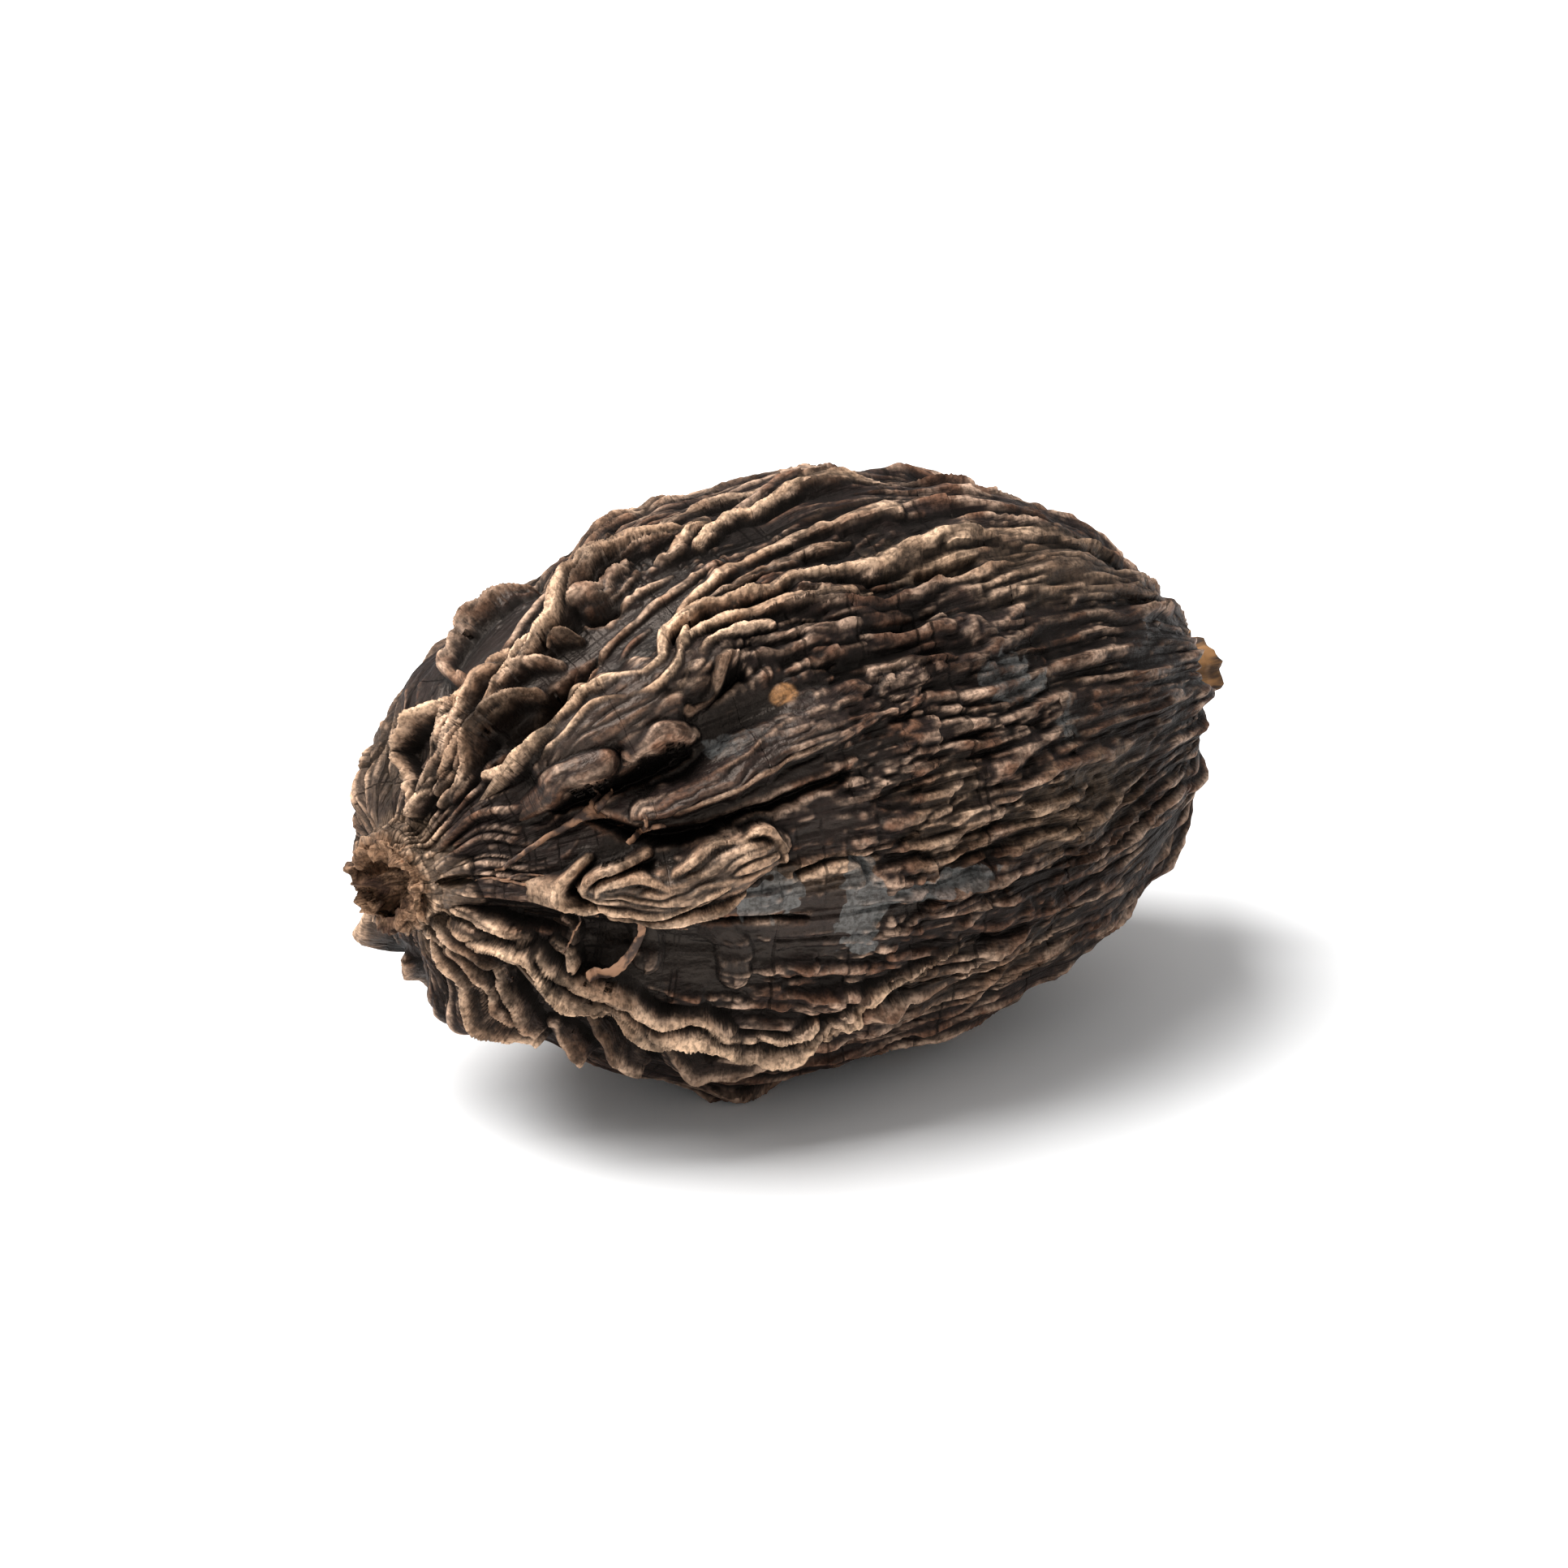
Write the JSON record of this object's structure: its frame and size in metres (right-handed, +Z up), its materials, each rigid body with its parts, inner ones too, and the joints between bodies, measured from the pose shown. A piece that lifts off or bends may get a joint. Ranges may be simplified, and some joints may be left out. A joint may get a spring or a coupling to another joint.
{
  "type": "dried black cardamom pod",
  "caption": "Whole dried black cardamom pod lying on its side, wrinkled dark husk with a pleated hollow neck and a broken stalk stub.",
  "frame": {"origin": "middle of the box, on the surface that the pod rests on", "axes": "+X along the pod from the pleated neck to the stalk, +Z up, +Y across the pod"},
  "size_m": [0.0332, 0.0196, 0.0193],
  "materials": {
    "husk": "dried, wrinkled fibrous husk, matte brown on the crests and satin near-black in the valleys",
    "stalk": "dried fibrous stalk, matte tan brown, torn across"
  },
  "bodies": {
    "root": {"pod": "husk", "stalk_stub": "stalk"}
  },
  "joints": []
}
